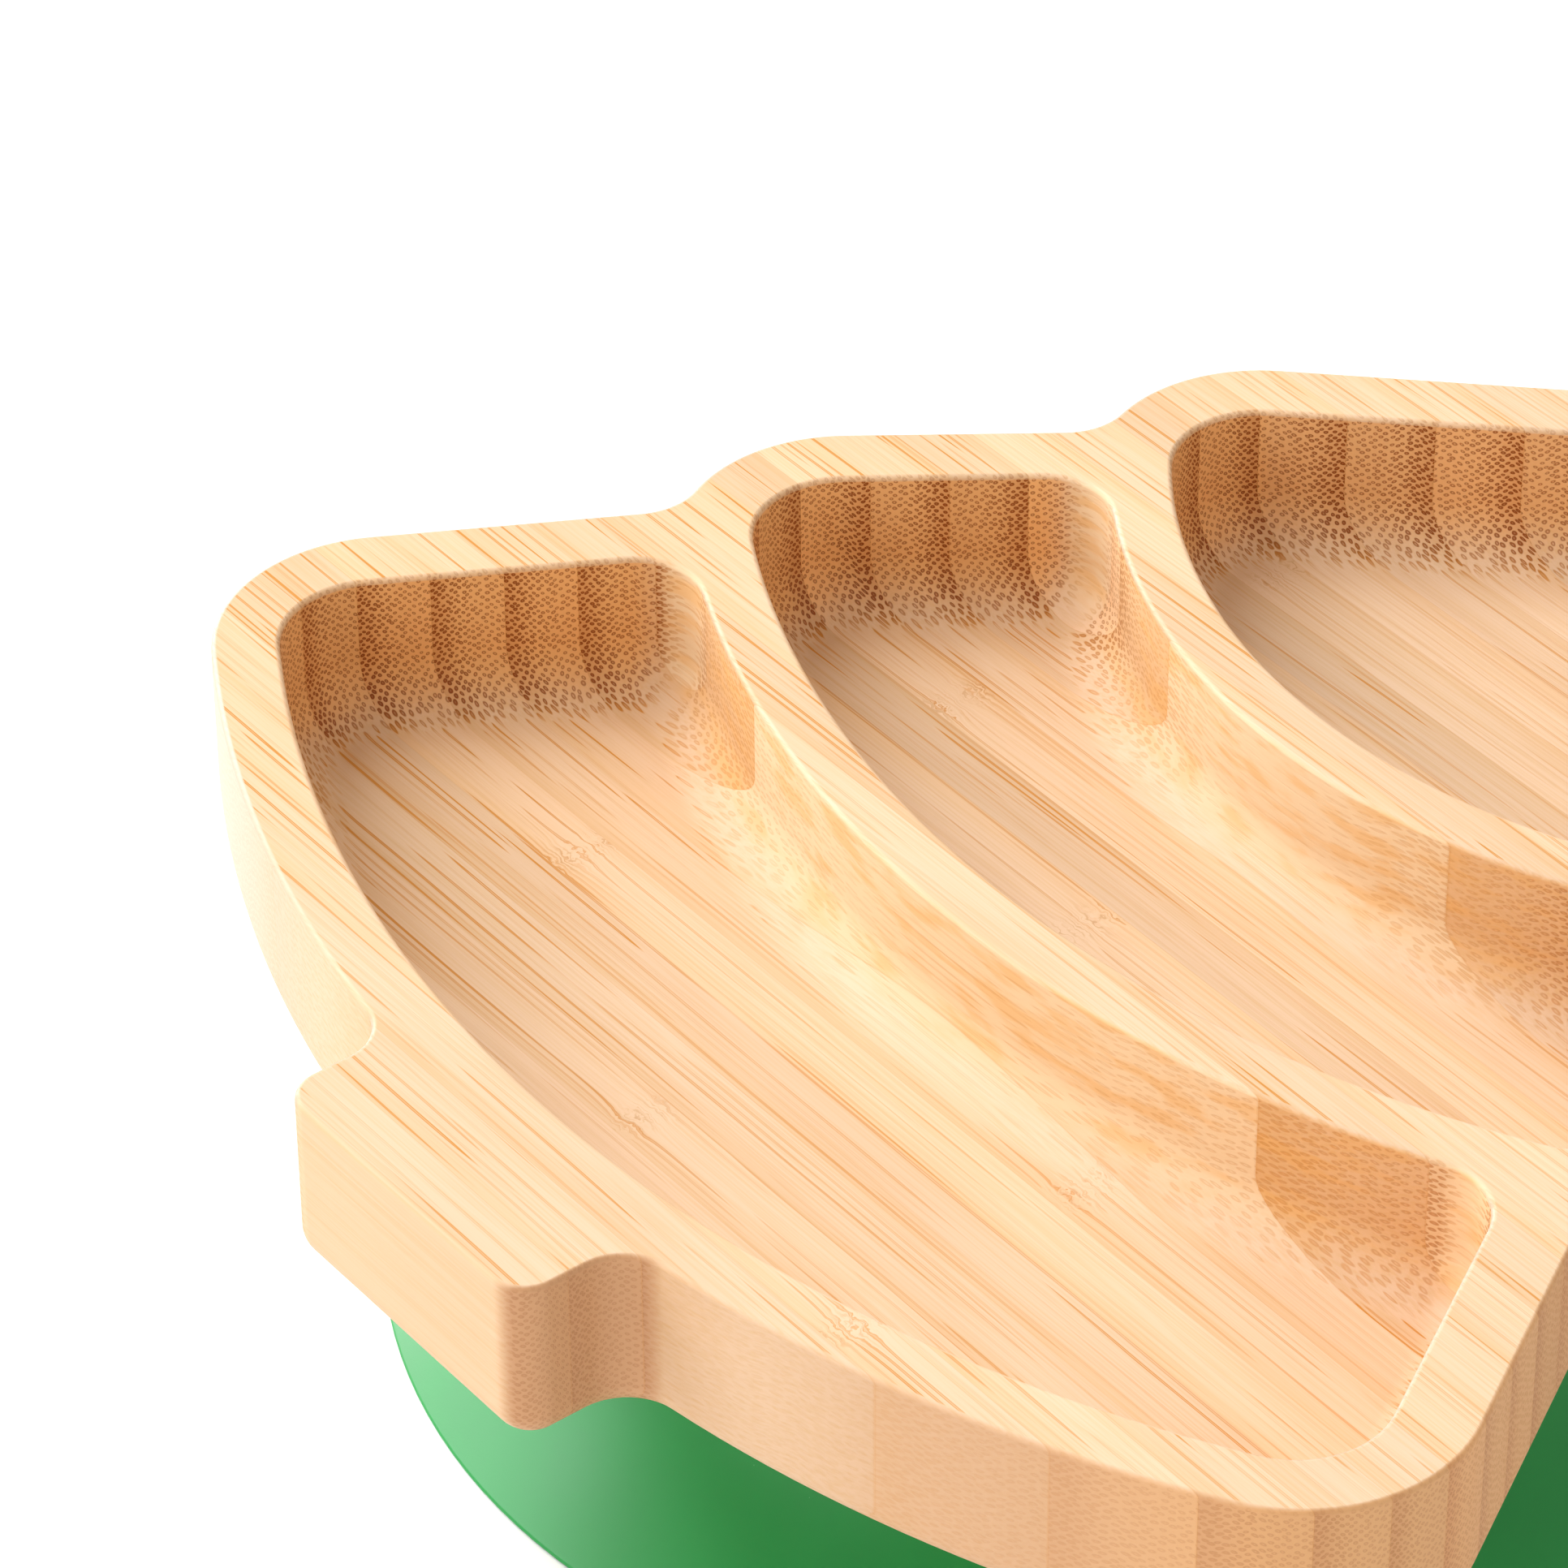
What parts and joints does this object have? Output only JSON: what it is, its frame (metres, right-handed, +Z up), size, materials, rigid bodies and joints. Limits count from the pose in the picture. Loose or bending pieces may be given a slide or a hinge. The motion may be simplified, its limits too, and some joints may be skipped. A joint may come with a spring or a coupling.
{
  "type": "divided suction plate",
  "caption": "Divided child's plate of glued bamboo strips in a fir-tree outline, with deep compartments, lifting off a round silicone suction base.",
  "frame": {"origin": "on the table, under the middle of the plate's length and width", "axes": "+X across the plate along the bamboo strips, +Y from the trunk to the treetop, +Z up"},
  "size_m": [0.182, 0.2002, 0.051],
  "materials": {
    "bamboo_strip_01": "fine-sanded and oiled, satin",
    "bamboo_strip_02": "fine-sanded and oiled, satin",
    "bamboo_strip_03": "fine-sanded and oiled, satin",
    "bamboo_strip_04": "fine-sanded and oiled, satin",
    "bamboo_strip_05": "fine-sanded and oiled, satin",
    "bamboo_strip_06": "fine-sanded and oiled, satin",
    "bamboo_strip_07": "fine-sanded and oiled, satin",
    "bamboo_strip_08": "fine-sanded and oiled, satin",
    "bamboo_strip_09": "fine-sanded and oiled, satin",
    "bamboo_strip_10": "fine-sanded and oiled, satin",
    "bamboo_strip_11": "fine-sanded and oiled, satin",
    "bamboo_strip_12": "fine-sanded and oiled, satin",
    "bamboo_strip_13": "fine-sanded and oiled, satin",
    "bamboo_strip_14": "fine-sanded and oiled, satin",
    "bamboo_strip_15": "fine-sanded and oiled, satin",
    "bamboo_strip_16": "fine-sanded and oiled, satin",
    "bamboo_strip_17": "fine-sanded and oiled, satin",
    "bamboo_strip_18": "fine-sanded and oiled, satin",
    "bamboo_strip_19": "fine-sanded and oiled, satin",
    "bamboo_strip_20": "fine-sanded and oiled, satin",
    "bamboo_strip_21": "fine-sanded and oiled, satin",
    "bamboo_strip_22": "fine-sanded and oiled, satin",
    "bamboo_strip_23": "fine-sanded and oiled, satin",
    "bamboo_strip_24": "fine-sanded and oiled, satin",
    "bamboo_strip_25": "fine-sanded and oiled, satin",
    "bamboo_strip_26": "fine-sanded and oiled, satin",
    "bamboo_strip_27": "fine-sanded and oiled, satin",
    "bamboo_strip_28": "fine-sanded and oiled, satin",
    "bamboo_strip_29": "fine-sanded and oiled, satin",
    "bamboo_strip_30": "fine-sanded and oiled, satin",
    "suction_base": "moulded silicone, satin"
  },
  "bodies": {
    "suction_base": {"suction_base": "suction_base"},
    "plate": {"bamboo_strip_01": "bamboo_strip_01", "bamboo_strip_02": "bamboo_strip_02", "bamboo_strip_03": "bamboo_strip_03", "bamboo_strip_04": "bamboo_strip_04", "bamboo_strip_05": "bamboo_strip_05", "bamboo_strip_06": "bamboo_strip_06", "bamboo_strip_07": "bamboo_strip_07", "bamboo_strip_08": "bamboo_strip_08", "bamboo_strip_09": "bamboo_strip_09", "bamboo_strip_10": "bamboo_strip_10", "bamboo_strip_11": "bamboo_strip_11", "bamboo_strip_12": "bamboo_strip_12", "bamboo_strip_13": "bamboo_strip_13", "bamboo_strip_14": "bamboo_strip_14", "bamboo_strip_15": "bamboo_strip_15", "bamboo_strip_16": "bamboo_strip_16", "bamboo_strip_17": "bamboo_strip_17", "bamboo_strip_18": "bamboo_strip_18", "bamboo_strip_19": "bamboo_strip_19", "bamboo_strip_20": "bamboo_strip_20", "bamboo_strip_21": "bamboo_strip_21", "bamboo_strip_22": "bamboo_strip_22", "bamboo_strip_23": "bamboo_strip_23", "bamboo_strip_24": "bamboo_strip_24", "bamboo_strip_25": "bamboo_strip_25", "bamboo_strip_26": "bamboo_strip_26", "bamboo_strip_27": "bamboo_strip_27", "bamboo_strip_28": "bamboo_strip_28", "bamboo_strip_29": "bamboo_strip_29", "bamboo_strip_30": "bamboo_strip_30"}
  },
  "joints": [
    {"name": "plate_lift", "type": "slide", "parent": "suction_base", "child": "plate", "axis": [0, 0, 1], "range_m": [0, 0.06]}
  ]
}
